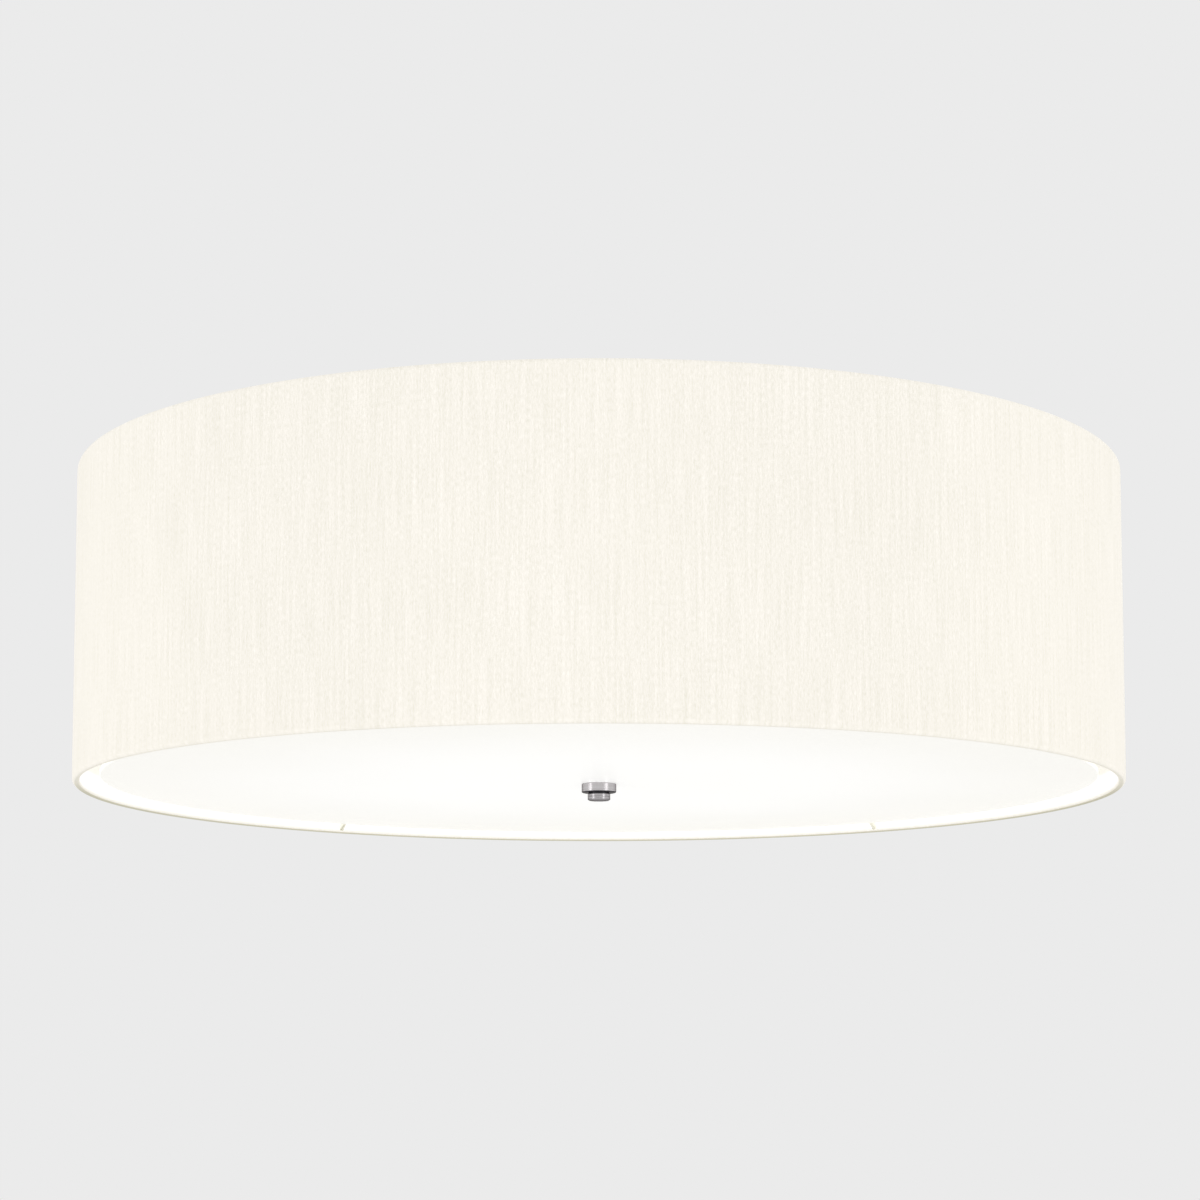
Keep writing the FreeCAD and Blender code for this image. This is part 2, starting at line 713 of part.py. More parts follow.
def make_block():
    """The terminal block: a row of poles on a base with a screw foot at each end."""
    low = pan_inside_level
    last = pole_places()[-1]
    web = Part.makeBox(2 * last, block_depth * 0.8, block_web_height,
                       V(-last, block_front + block_depth * 0.1, low))
    foot_reach = last + pole_width / 2 + block_foot_length
    foot = Part.makeBox(2 * foot_reach, block_depth * 0.5, block_foot_height,
                        V(-foot_reach, block_front + block_depth * 0.25, low))
    block = web.fuse(foot)
    c = pole_width * 0.18
    top, half = low + block_height, pole_width / 2
    for x in pole_places():
        face = outline((x - half, low), (x + half, low), (x + half, top - c), (x + half - c, top),
                       (x - half + c, top), (x - half, top - c))
        pole = face.extrude(V(0, block_depth, 0))
        pole.translate(V(0, block_front, 0))
        block = block.fuse(pole)
    block = block.removeSplitter()
    entry_radius = lead_radius + block_entry_clearance
    for x in pole_places():
        for start, way in ((block_front, 1), (block_front + block_depth, -1)):
            entry = Part.makeCylinder(entry_radius, block_entry_depth,
                                      V(x, start, lead_run_level), V(0, way, 0))
            block = block.cut(entry)
    block = drilled(block, terminal_screw_diameter / 2, top - terminal_screw_height, top + 1,
                    *terminal_screw_places())
    return drilled(block, small_screw_diameter / 2, low - 1, low + 2 * block_foot_height,
                   *block_screw_places())


def terminal_screw_places():
    """Centres of the clamping screws, two in each pole."""
    rows = (block_front + terminal_screw_inset, block_front + block_depth - terminal_screw_inset)
    return [(x, y) for x in pole_places() for y in rows]


def make_terminal_screws():
    """The slotted clamping screws, flush with the top of the terminal block."""
    top = pan_inside_level + block_height
    radius = terminal_screw_diameter / 2
    head = Part.makeCylinder(radius, terminal_screw_height, V(0, 0, top - terminal_screw_height))
    slot = Part.makeBox(terminal_screw_slot, 2 * terminal_screw_diameter, terminal_screw_height,
                        V(-terminal_screw_slot / 2, -terminal_screw_diameter,
                          top - terminal_screw_height * 0.4))
    head = head.cut(slot)
    return [moved(head, x, y, 0) for x, y in terminal_screw_places()]


def small_screws(head_level, places):
    """Small screws down through the pan's floor, with their ends flush below it."""
    return [screw(small_screw_diameter / 2, small_screw_head_diameter / 2,
                  small_screw_head_height, head_level, pan_floor_level, place)
            for place in places]


def make_grommets():
    """The bushes that keep the leads off the edges of the pan and the carrier."""
    bore = lead_radius + grommet_bore_clearance
    neck, flange = grommet_neck_diameter / 2, grommet_flange_diameter / 2
    low, high = carrier_level, pan_inside_level
    t = grommet_flange_thickness
    bush = turned((bore, low - t), (flange, low - t), (flange, low), (neck, low), (neck, high),
                  (flange, high), (flange, high + t), (bore, high + t))
    return [moved(bush, x, y, 0) for x, y in lead_places()]


def lead_route(number):
    """A lead's corners: from its lampholder's neck to the stem, up, and over to its pole."""
    x, y = lead_places()[number]
    foot, head = V(x, y, lamp_axis_level), V(x, y, lead_run_level)
    out = V(x, y, 0).normalize()
    start = out * (carrier_seat_radius + nipple_engagement) + V(0, 0, lamp_axis_level)
    inside = block_front + block_entry_depth
    if y > 0:
        return [start, foot, head, V(x, inside, lead_run_level)]
    # a lead that rises behind the stem steps aside to a pole further out
    aside = V(x + math.copysign(pole_pitch, x), y + pole_pitch, lead_run_level)
    return [start, foot, head, aside, V(aside.x, inside, lead_run_level)]


def make_lead(number):
    """A lampholder's two-core lead along its route."""
    route = lead_route(number)
    bend = min(lead_bend_radius, (lead_run_level - pan_inside_level) - grommet_flange_thickness)
    bends = [lead_bend_radius] + [bend] * (len(route) - 3)
    return round_bar(route, lead_radius, bends)


def earth_barrel_place():
    """Where the earth lead goes down into its lug, in front of the middle pole."""
    return pole_places()[pole_count // 2], block_front - earth_run_length


def earth_screw_place():
    """The centre of the earth screw, at the far end of the lug."""
    x, y = earth_barrel_place()
    return x, y - (earth_lug_length - earth_lug_width)


def make_earth_lug():
    """The earth lug: a flat tongue with an upright barrel for the lead."""
    x, y = earth_barrel_place()
    end = earth_screw_place()[1]
    half = earth_lug_width / 2
    low, high = pan_inside_level, pan_inside_level + earth_lug_thickness
    tongue = Part.makeBox(earth_lug_width, y - end, earth_lug_thickness, V(x - half, end, low))
    for place in (y, end):
        tongue = tongue.fuse(Part.makeCylinder(half, earth_lug_thickness, V(x, place, low)))
    barrel = ring(lead_radius, lead_radius + earth_barrel_wall, high, high + earth_barrel_height)
    lug = tongue.fuse(moved(barrel, x, y, 0)).removeSplitter()
    return drilled(lug, small_screw_diameter / 2, low - 1, high + 1, earth_screw_place())


def make_earth_lead():
    """The earth lead, from the middle pole of the terminal block down into the lug."""
    x, y = earth_barrel_place()
    low = pan_inside_level + earth_lug_thickness
    route = [V(x, y, low), V(x, y, lead_run_level),
             V(x, block_front + block_entry_depth, lead_run_level)]
    bend = min(lead_bend_radius, lead_run_level - low - earth_barrel_height)
    return round_bar(route, lead_radius, [bend])


# ---------------------------------------------------------------- the parts
def build():
    """Every sub-part as its node's name and its solids."""
    upper_nut, lower_nut = make_stem_nuts()
    nipple_nut = make_nipple_nut()
    nipple, contact = make_nipple(), make_contact()
    arms = range(lamp_count)
    low = pan_inside_level + block_foot_height
    parts = {
        "shade_fabric": [make_fabric()],
        "shade_liner": [make_liner()],
        "shade_top_ring": [make_wire_ring(top_ring_level)],
        "shade_bottom_ring": [make_wire_ring(bottom_ring_level)],
        "spider_spokes": make_spokes(),
        "spider_hub": [make_hub()],
        "hub_lower_nut": [hex_nut(hub_nut_across_flats, nut_bore_radius, hub_nut_level, hub_level)],
        "hub_upper_nut": [hex_nut(hub_nut_across_flats, nut_bore_radius, hub_top_level,
                                  hub_top_level + hub_nut_height)],
        "diffuser_gasket": [ring(stem_hole_radius, gasket_diameter / 2, gasket_level,
                                 hub_nut_level)],
        "diffuser": [make_diffuser()],
        "finial_collar": [make_collar()],
        "finial_knob": [make_knob()],
        "stem_rod": [make_stem()],
        "stem_upper_nut": [upper_nut],
        "stem_lower_nut": [lower_nut],
        "stem_washers": make_stem_washers(),
        "ceiling_pan": [make_pan()],
        "mounting_bracket": [make_bracket()],
        "pan_screws": make_pan_screws(),
        "pan_screw_washers": make_pan_screw_washers(),
        "lamp_carrier": [make_carrier()],
        "holder_nipples": [on_arm(nipple, k) for k in arms],
        "holder_nuts": [on_arm(nipple_nut, k) for k in arms],
        "holder_contacts": [on_arm(contact, k) for k in arms],
        "terminal_block": [make_block()],
        "terminal_screws": make_terminal_screws(),
        "block_screws": small_screws(low, block_screw_places()),
        "lead_grommets": make_grommets(),
        "earth_lug": [make_earth_lug()],
        "earth_screw": small_screws(pan_inside_level + earth_lug_thickness,
                                    [earth_screw_place()]),
        "earth_lead": [make_earth_lead()],
    }
    holder, sleeve = make_holder(), make_sleeve()
    button, cap, housing, globe = (make_lamp_contact(), make_lamp_cap(), make_lamp_housing(),
                                   make_globe())
    for k in arms:
        parts[f"holder_body_{k + 1}"] = [on_arm(holder, k)]
        parts[f"holder_sleeve_{k + 1}"] = [on_arm(sleeve, k)]
        parts[f"lamp_{k + 1}_contact"] = [on_arm(button, k)]
        parts[f"lamp_{k + 1}_cap"] = [on_arm(cap, k)]
        parts[f"lamp_{k + 1}_housing"] = [on_arm(housing, k)]
        parts[f"lamp_{k + 1}_globe"] = [on_arm(globe, k)]
        parts[f"holder_lead_{k + 1}"] = [make_lead(k)]
    return parts


os.makedirs("parts", exist_ok=True)
for name, solids in build().items():
    shape = solids[0] if len(solids) == 1 else Part.makeCompound(solids)
    shape.exportStep(f"parts/{name}.step")
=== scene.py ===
import bpy
import math
from mathutils import Matrix, Vector


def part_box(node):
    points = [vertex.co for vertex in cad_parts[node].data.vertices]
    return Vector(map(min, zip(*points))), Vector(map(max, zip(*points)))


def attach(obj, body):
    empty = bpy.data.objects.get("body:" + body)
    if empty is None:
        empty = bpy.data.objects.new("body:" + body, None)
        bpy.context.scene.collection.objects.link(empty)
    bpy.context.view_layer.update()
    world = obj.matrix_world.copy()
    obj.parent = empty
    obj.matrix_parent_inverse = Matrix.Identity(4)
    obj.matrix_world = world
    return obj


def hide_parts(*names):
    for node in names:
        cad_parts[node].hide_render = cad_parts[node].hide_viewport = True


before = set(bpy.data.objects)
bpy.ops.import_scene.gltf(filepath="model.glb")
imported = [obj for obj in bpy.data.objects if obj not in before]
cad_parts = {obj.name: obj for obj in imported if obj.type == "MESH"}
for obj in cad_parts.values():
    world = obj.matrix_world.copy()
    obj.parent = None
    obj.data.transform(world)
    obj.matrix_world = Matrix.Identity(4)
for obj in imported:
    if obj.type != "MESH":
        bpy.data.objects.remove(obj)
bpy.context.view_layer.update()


def deselectAll():
    if bpy.context.object and bpy.context.object.mode != "OBJECT":
        bpy.ops.object.mode_set(mode="OBJECT")
    bpy.ops.object.select_all(action="DESELECT")


def activate(piece):
    deselectAll()
    piece.select_set(True)
    bpy.context.view_layer.objects.active = piece


def applyModifiers(piece):
    activate(piece)
    for modifier in list(piece.modifiers):
        bpy.ops.object.modifier_apply(modifier=modifier.name)


def bakePlace(piece):
    # the place goes into the mesh, so patterns on Object coordinates stay put
    activate(piece)
    bpy.ops.object.transform_apply(location=True, rotation=True, scale=True)


def hexColour(text):
    parts = [int(text[i:i + 2], 16) / 255 for i in (1, 3, 5)]
    linear = [c / 12.92 if c <= 0.04045 else ((c + 0.055) / 1.055) ** 2.4 for c in parts]
    return (*linear, 1.0)


def setSocket(tree, socket, value):
    # a socket takes a link, a colour as hex text or a plain value
    if isinstance(value, bpy.types.NodeSocket):
        tree.links.new(value, socket)
    else:
        socket.default_value = hexColour(value) if isinstance(value, str) else value


def addNode(tree, kind, settings=None, inputs=None):
    node = tree.nodes.new("ShaderNode" + kind)
    for key, value in (settings or {}).items():
        setattr(node, key, value)
    for key, value in (inputs or {}).items():
        setSocket(tree, node.inputs[key], value)
    return node


def newMaterial(name, surface):
    material = bpy.data.materials.new(name)
    material.use_nodes = True
    tree = material.node_tree
    shader = tree.nodes["Principled BSDF"]
    for key, value in surface.items():
        setSocket(tree, shader.inputs[key], value)
    return material, tree, shader


def calculate(tree, operation, *values):
    # one step of arithmetic on sockets or plain numbers
    return addNode(tree, "Math", {"operation": operation}, dict(enumerate(values))).outputs[0]


def mixColours(tree, factor, first, second):
    return addNode(tree, "Mix", {"data_type": "RGBA"}, {
        "Factor": factor, 6: first, 7: second}).outputs[2]


def toneColour(tree, factor, low, high, dark, light):
    # spreads a value between two colours
    spread = addNode(tree, "MapRange", None, {
        "Value": factor, "From Min": low, "From Max": high})
    return mixColours(tree, spread.outputs["Result"], dark, light)


def fadeNear(tree, value, base, offsets, least=0.0):
    # from least at the first offset from a base radius or level to 1 at the second, eased
    return addNode(tree, "MapRange", {"interpolation_type": "SMOOTHSTEP"}, {
        "Value": value, "From Min": base + offsets[0], "From Max": base + offsets[1],
        "To Min": least}).outputs["Result"]


def objectParts(tree):
    # the X, Y and Z sockets of the object's own coordinates
    place = addNode(tree, "TexCoord").outputs["Object"]
    return addNode(tree, "SeparateXYZ", None, {0: place}).outputs


def reachFromAxis(tree, parts):
    # distance from the Z axis
    level = addNode(tree, "CombineXYZ", None, {"X": parts["X"], "Y": parts["Y"], "Z": 0.0})
    return addNode(tree, "VectorMath", {"operation": "LENGTH"}, {
        0: level.outputs[0]}).outputs["Value"]


def stretchedNoise(tree, vector, scale, detail=2.0, roughness=0.5):
    # noise whose grains are 1 / scale metres long on each axis
    place = addNode(tree, "Mapping", None, {"Vector": vector, "Scale": scale})
    return addNode(tree, "TexNoise", None, {
        "Vector": place.outputs["Vector"], "Scale": 1.0, "Detail": detail,
        "Roughness": roughness}).outputs["Fac"]


def bumpFrom(tree, shader, height, distance, strength=1.0):
    bump = addNode(tree, "Bump", None, {
        "Height": height, "Distance": distance, "Strength": strength})
    setSocket(tree, shader.inputs["Normal"], bump.outputs["Normal"])


# sizes from the CAD frame
clothLow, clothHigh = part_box("shade_fabric")
ringLow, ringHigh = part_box("shade_bottom_ring")
linerLow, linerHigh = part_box("shade_liner")
diffuserLow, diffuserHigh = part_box("diffuser")
shadeRadius = clothHigh.x
rimLevel = clothLow.z
lowRingLevel = (ringHigh.z + ringLow.z) / 2
topRingLevel = clothLow.z + clothHigh.z - lowRingLevel
wallMiddle = (topRingLevel + lowRingLevel) / 2
cloth = {
    "segments": 320, "thickness": 0.0004, "linerThickness": 0.0006,
    # round the wire in steps, then inwards at this lean from upright, and up the liner
    "arcSteps": 16, "lean": 30.0, "tuckHeight": 0.012, "levelTolerance": 0.00001,
    # the lap at the seam; its faces are found by angle in radians, depth and upright normal
    "seamAngle": 85.5, "lapWidth": 0.010, "lapMargin": 0.002, "lapDepth": 0.001, "lapTilt": 0.1,
    # how high the hem's material goes above the wire's middle, and how far in counts as turned in
    "hemZone": 0.004, "tuckMargin": 0.001, "turnedInFrom": 0.0006,
    # slits where the spokes leave the wire; a slit's middle lies this far along its spoke
    "spokeCount": 5, "firstSpoke": -91.3, "spokeRise": 36.0,
    "slitRadius": 0.0018, "slitLength": 0.012, "slitMiddle": 0.0065, "slitSides": 16,
}
clothRadius = shadeRadius - cloth["thickness"] / 2
hemRadius = lowRingLevel - rimLevel - cloth["thickness"] / 2
ringRadius = clothRadius - hemRadius
tuckRadius = linerHigh.x - cloth["linerThickness"] - cloth["thickness"] / 2
lampCount = 4
lampAngles = [math.radians(45 + 90 * k) for k in range(lampCount)]

# camera, lights and backdrop
photoCamera = {
    "lens": 93.96, "sensor": 36.0, "shiftUp": 0.1667,
    "distance": 1.7963, "sideways": 0.00059, "belowRim": 0.2005, "pitch": 6.22,
}
cameraData = bpy.data.cameras.new("photoCamera")
cameraData.lens = photoCamera["lens"]
cameraData.sensor_width = photoCamera["sensor"]
cameraData.shift_y = photoCamera["shiftUp"]
cameraData.dof.use_dof = False
cameraObject = bpy.data.objects.new("photoCamera", cameraData)
bpy.context.scene.collection.objects.link(cameraObject)
cameraObject.location = (photoCamera["sideways"], -photoCamera["distance"],
                         rimLevel - photoCamera["belowRim"])
cameraObject.rotation_euler = (math.radians(90 + photoCamera["pitch"]), 0, 0)
bpy.context.scene.camera = cameraObject
bpy.context.scene.view_settings.view_transform = "Standard"

studio = {
    "backdrop": "#EBEBEB", "backdropStrength": 1.0,
    "roomColour": "#F4F3F1", "roomStrength": 0.62,
    "floorLevel": -2.3, "floorSize": 30.0, "floorGlow": 0.27,
    # place, size in metres, watts
    "softboxes": {
        "keySoftbox": {"place": (-2.85, -1.65, -0.35), "size": (1.1, 2.6), "watts": 24.0},
        "fillSoftbox": {"place": (2.60, -2.17, -0.35), "size": (1.1, 2.6), "watts": 25.5},
        "topSoftbox": {"place": (0.6, 1.8, 2.2), "size": (2.6, 2.6), "watts": 14.0},
    },
}


def backdropRays(tree):
    # 1 for what the camera, reflections and glass see, 0 for light that falls on the object
    path = addNode(tree, "LightPath").outputs
    rays = calculate(tree, "MAXIMUM", path["Is Camera Ray"], path["Is Glossy Ray"])
    return calculate(tree, "MAXIMUM", rays, path["Is Transmission Ray"])


world = bpy.data.worlds.new("studioRoom")
bpy.context.scene.world = world
world.use_nodes = True
worldTree = world.node_tree
worldTree.nodes.clear()
roomLight = addNode(worldTree, "Background", None, {
    "Color": studio["roomColour"], "Strength": studio["roomStrength"]})
roomSeen = addNode(worldTree, "Background", None, {
    "Color": studio["backdrop"], "Strength": studio["backdropStrength"]})
roomMix = addNode(worldTree, "MixShader", None, {
    0: backdropRays(worldTree), 1: roomLight.outputs[0], 2: roomSeen.outputs[0]})
addNode(worldTree, "OutputWorld", None, {"Surface": roomMix.outputs[0]})

for lightName, box in studio["softboxes"].items():
    lightData = bpy.data.lights.new(lightName, "AREA")
    lightData.shape = "RECTANGLE"
    lightData.size, lightData.size_y = box["size"]
    lightData.energy = box["watts"]
    lightObject = bpy.data.objects.new(lightName, lightData)
    bpy.context.scene.collection.objects.link(lightObject)
    lightObject.location = box["place"]
    aim = Vector((0, 0, rimLevel)) - Vector(box["place"])
    lightObject.rotation_euler = aim.to_track_quat("-Z", "Y").to_euler()

# the floor is seen as pale as the backdrop, and still takes the object's shadow
deselectAll()
bpy.ops.mesh.primitive_plane_add(size=studio["floorSize"], location=(0, 0, studio["floorLevel"]))
floor = bpy.context.object
floor.name = "studioFloor"
floorMaterial, floorTree, floorShader = newMaterial("palePaintedFloor", {
    "Base Color": studio["backdrop"], "Roughness": 0.9, "Specular IOR Level": 0.1,
    "Emission Color": studio["backdrop"]})
floor.data.materials.append(floorMaterial)
setSocket(floorTree, floorShader.inputs["Emission Strength"],
          calculate(floorTree, "MULTIPLY", backdropRays(floorTree), studio["floorGlow"]))
print("stage: camera, softboxes and floor")

slub = {
    # grains per metre across and along: 0.8 x 2.5 mm threads, 2 x 50 mm slubs, 70 mm bands
    "grain": {"scale": (1250.0, 1.0, 400.0), "roughness": 0.6},
    "slubs": {"scale": (560.0, 1.0, 20.0), "roughness": 0.55},
    "bands": {"scale": (14.0, 1.0, 3.0), "detail": 1.0},
    "slubShare": 0.60, "bandShare": 0.12, "spread": (0.51, 1.21),
    "dark": "#D7D4C9", "light": "#EFEBE5", "bumpDepth": 0.00015, "bumpStrength": 0.4,
}


def clothPlace(tree):
    # metres round the drum and metres up, cut at the back where the cloth has its seam
    parts = objectParts(tree)
    front = calculate(tree, "MULTIPLY", parts["Y"], -1.0)
    angle = calculate(tree, "ARCTAN2", parts["X"], front)
    around = calculate(tree, "MULTIPLY", angle, shadeRadius)
    return addNode(tree, "CombineXYZ", None, {"X": around, "Y": 0.0, "Z": parts["Z"]}).outputs[0]


def slubbedCloth(name, glow):
    # woven blend with slubbed warp threads: matt cream with faint streaks, lit from inside
    material, tree, shader = newMaterial(name, {
        "Roughness": 0.88, "Specular IOR Level": 0.2, "Sheen Weight": 0.03,
        "Sheen Roughness": 0.6, "Emission Strength": glow})
    place = clothPlace(tree)
    grain, slubs, bands = (stretchedNoise(tree, place, **slub[layer])
                           for layer in ("grain", "slubs", "bands"))
    threads = calculate(tree, "MULTIPLY_ADD", slubs, slub["slubShare"], grain)
    tones = calculate(tree, "MULTIPLY_ADD", bands, slub["bandShare"], threads)
    colour = toneColour(tree, tones, *slub["spread"], slub["dark"], slub["light"])
    setSocket(tree, shader.inputs["Base Color"], colour)
    setSocket(tree, shader.inputs["Emission Color"], colour)
    bumpFrom(tree, shader, threads, slub["bumpDepth"], slub["bumpStrength"])
    return material, tree, shader


def layOver(tree, socket, factor, colour):
    # lays a colour over what already feeds a socket
    setSocket(tree, socket, mixColours(tree, factor, socket.links[0].from_socket, colour))


hemLook = {
    "white": "#FBFBF9", "whiteGlow": "#FFFFFF", "dull": "#D3D0BD", "dullGlow": "#8D8A76",
    # where each fade starts and ends, in metres from the wire ring's radius or middle
    "innerSide": (0.0006, -0.0006), "aboveWire": (0.0, 0.0010), "whiteRise": (-0.0014, 0.0013),
    "dullReach": (0.0012, 0.0005),
    # the same for the dull line's depth, in hem radii below the wire's middle
    "dullDepth": (0.56, 0.92),
    # the softboxes light the front of the hem, so the line has this share of its strength there
    "frontToBack": (-0.09, 0.03), "frontShare": 0.22,
}


def makeHemCloth():
    # the same cloth round the lower wire: white where the lamps light it from inside, cream
    # below, and a thin dull line underneath where the wire hides the lamps
    material, tree, shader = slubbedCloth("slubbedClothOnWire", glow=0.48)
    parts = objectParts(tree)
    level, reach = parts["Z"], reachFromAxis(tree, parts)
    # above the wire's middle there is only turned-in cloth
    inside = calculate(tree, "MAXIMUM", fadeNear(tree, reach, ringRadius, hemLook["innerSide"]),
                       fadeNear(tree, level, lowRingLevel, hemLook["aboveWire"]))
    lit = calculate(tree, "MULTIPLY", inside,
                    fadeNear(tree, level, lowRingLevel, hemLook["whiteRise"]))
    depths = [-share * hemRadius for share in hemLook["dullDepth"]]
    underneath = calculate(tree, "MULTIPLY",
                           fadeNear(tree, reach, ringRadius, hemLook["dullReach"]),
                           fadeNear(tree, level, lowRingLevel, depths))
    behind = fadeNear(tree, parts["Y"], 0.0, hemLook["frontToBack"], hemLook["frontShare"])
    dull = calculate(tree, "MULTIPLY", underneath, behind)
    for factor, tone in ((lit, "white"), (dull, "dull")):
        layOver(tree, shader.inputs["Base Color"], factor, hemLook[tone])
        layOver(tree, shader.inputs["Emission Color"], factor, hemLook[tone + "Glow"])
    return material


def makeTuckCloth():
    # the same cloth where it is turned in, so bright from the lamps that its glow has no streaks
    material, tree, shader = slubbedCloth("slubbedClothTurnedIn", glow=0.62)
    tree.links.remove(shader.inputs["Emission Color"].links[0])
    setSocket(tree, shader.inputs["Emission Color"], "#F6F8FF")
    return material


clothWall = slubbedCloth("slubbedClothLitFromInside", glow=0.46)[0]
clothTuck = makeTuckCloth()
clothHem = makeHemCloth()


def grainedSurface(name, surface, dark, light, scale, depth, spread=(0.35, 0.65)):
    # a moulded, painted or rolled surface: a faint tone and a fine bump at the grain's own size,
    # with scale in grains per metre, as one number or one for each axis
    material, tree, shader = newMaterial(name, surface)
    place = addNode(tree, "TexCoord").outputs["Object"]
    scale = scale if isinstance(scale, tuple) else (scale,) * 3
    grain = stretchedNoise(tree, place, scale, detail=3.0)
    setSocket(tree, shader.inputs["Base Color"], toneColour(tree, grain, *spread, dark, light))
    bumpFrom(tree, shader, grain, depth)
    return material


def glowAcross(material, measure, base, offsets, near, far):
    # the emission colour goes from near to far across two offsets of a measure from its base
    tree = material.node_tree
    fade = fadeNear(tree, measure(tree, objectParts(tree)), base, offsets)
    setSocket(tree, tree.nodes["Principled BSDF"].inputs["Emission Color"],
              toneColour(tree, fade, 0.0, 1.0, near, far))
    return material


# polystyrene shade laminate, rolled: milky and satin, lit by the lamps and most of all where the
# diffuser throws their light on it
linerLaminate = glowAcross(
    grainedSurface("polystyreneLaminate", {"Roughness": 0.45, "Emission Strength": 0.46},
                   "#DCDAD3", "#E2E0DA", scale=260.0, depth=0.00002),
    lambda tree, parts: parts["Z"], base=lowRingLevel, offsets=(0.016, 0.05),
    near="#FFFDF8", far="#B9B5A8")


def makeOpalAcrylic(name, glow):
    # cast opal acrylic: milky body, satin skin, and a glow that the lamps make a little whiter
    # and stronger towards the middle
    return glowAcross(
        grainedSurface(name, {"Roughness": 0.38, "IOR": 1.49, "Emission Strength": glow},
                       "#DEDDD9", "#E1E0DD", scale=9.0, depth=0.00001),
        reachFromAxis, base=0.0, offsets=(0.10, 0.28), near="#F9FAFA", far="#EFEEE9")


opalAcrylic = makeOpalAcrylic("opalAcrylicLit", glow=0.50)
opalAcrylicBack = makeOpalAcrylic("opalAcrylicBack", glow=0.18)

# opal polycarbonate globe of a lamp, blown: smooth and glowing
opalGlobe = grainedSurface("opalPolycarbonate", {
    "Roughness": 0.35, "IOR": 1.58, "Emission Color": "#FFF6E2", "Emission Strength": 0.55},
    "#DAD8D0", "#E0DED8", scale=40.0, depth=0.00001)

# powder-coated steel: white, with the fine orange peel of the cured coat
powderCoat = grainedSurface("powderCoatedSteel", {
    "Roughness": 0.42, "Coat Weight": 0.15, "Coat Roughness": 0.3},
    "#D9D9D5", "#DFDFDC", scale=450.0, depth=0.00004)

# the same coat on the spider's wire, which the lamps light from close by
litWire = grainedSurface("powderCoatedWire", {
    "Roughness": 0.42, "Emission Color": "#E6E2C8", "Emission Strength": 0.58},
    "#D9D9D5", "#DFDFDC", scale=450.0, depth=0.00004)

# bright zinc plate on rolled steel: cool grey with a soft cloudy tone
zincPlate = grainedSurface("brightZincPlate", {"Metallic": 1.0, "Roughness": 0.34},
                           "#A9ACB0", "#C3C6CA", scale=140.0, depth=0.00001)

# rolled brass: warm yellow metal, slightly dulled
rolledBrass = grainedSurface("rolledBrass", {"Metallic": 1.0, "Roughness": 0.3},
                             "#B8934A", "#CDA95C", scale=220.0, depth=0.00001)

# spun aluminium screw shell: pale soft metal, its grains drawn out along one axis
spunAluminium = grainedSurface("spunAluminium", {"Metallic": 1.0, "Roughness": 0.32},
                               "#BBBDC0", "#D2D4D6", scale=(60.0, 900.0, 900.0), depth=0.00001)

# pressed black glass round the lamp's contact: dark, with a sharp shine
blackGlass = grainedSurface("pressedBlackGlass", {"Roughness": 0.12, "IOR": 1.52},
                            "#15151A", "#1D1D22", scale=200.0, depth=0.000005)

# moulded thermoplastics: white, with the matt grain that spark erosion leaves in the mould
mouldedHolder = grainedSurface("mouldedThermoplastic", {"Roughness": 0.5},
                               "#D6D5CE", "#DDDCD6", scale=900.0, depth=0.00003)
mouldedHousing = grainedSurface("mouldedPolybutylene", {"Roughness": 0.4},
                                "#DCDCDA", "#E2E2E0", scale=700.0, depth=0.00002)
# moulded nylon: creamier, and light goes a little way into it
mouldedNylon = grainedSurface("mouldedNylon", {
    "Roughness": 0.42, "Subsurface Weight": 0.1, "Subsurface Scale": 0.002},
    "#CFCEC3", "#D9D8CE", scale=600.0, depth=0.00002)

# moulded silicone of the washer and bushes: soft, grey-white and dull
mouldedSilicone = grainedSurface("mouldedSilicone", {"Roughness": 0.6},
                                 "#C9C8C3", "#D2D1CC", scale=800.0, depth=0.00002)

# extruded flexible sheath of the leads: plain white, slightly dull
whiteSheath = grainedSurface("extrudedWhiteSheath", {"Roughness": 0.5},
                             "#D5D4CF", "#DBDAD6", scale=300.0, depth=0.00002)


def makeEarthSheath():
    # extruded sheath, yellow with a green stripe along it
    material, tree, shader = newMaterial("extrudedEarthSheath", {"Roughness": 0.48})
    stripe = calculate(tree, "GREATER_THAN", objectParts(tree)["X"], 0.0)
    setSocket(tree, shader.inputs["Base Color"],
              toneColour(tree, stripe, 0.0, 1.0, "#2F8A3A", "#D8C22E"))
    return material


earthSheath = makeEarthSheath()

nickel = {
    # marks of the turning tool every 0.12 mm, drawn at 0.35 mm so that they show
    "marksPerMetre": 2800.0, "markSpread": (0.3, 0.7), "markDepth": 0.00003, "markStrength": 0.3,
    "roughness": 0.32, "anisotropy": 0.8, "brushTurn": 0.25,
    # seen at a grazing angle, so the sides of a turned form go darker
    "edgeTint": "#93908F",
}


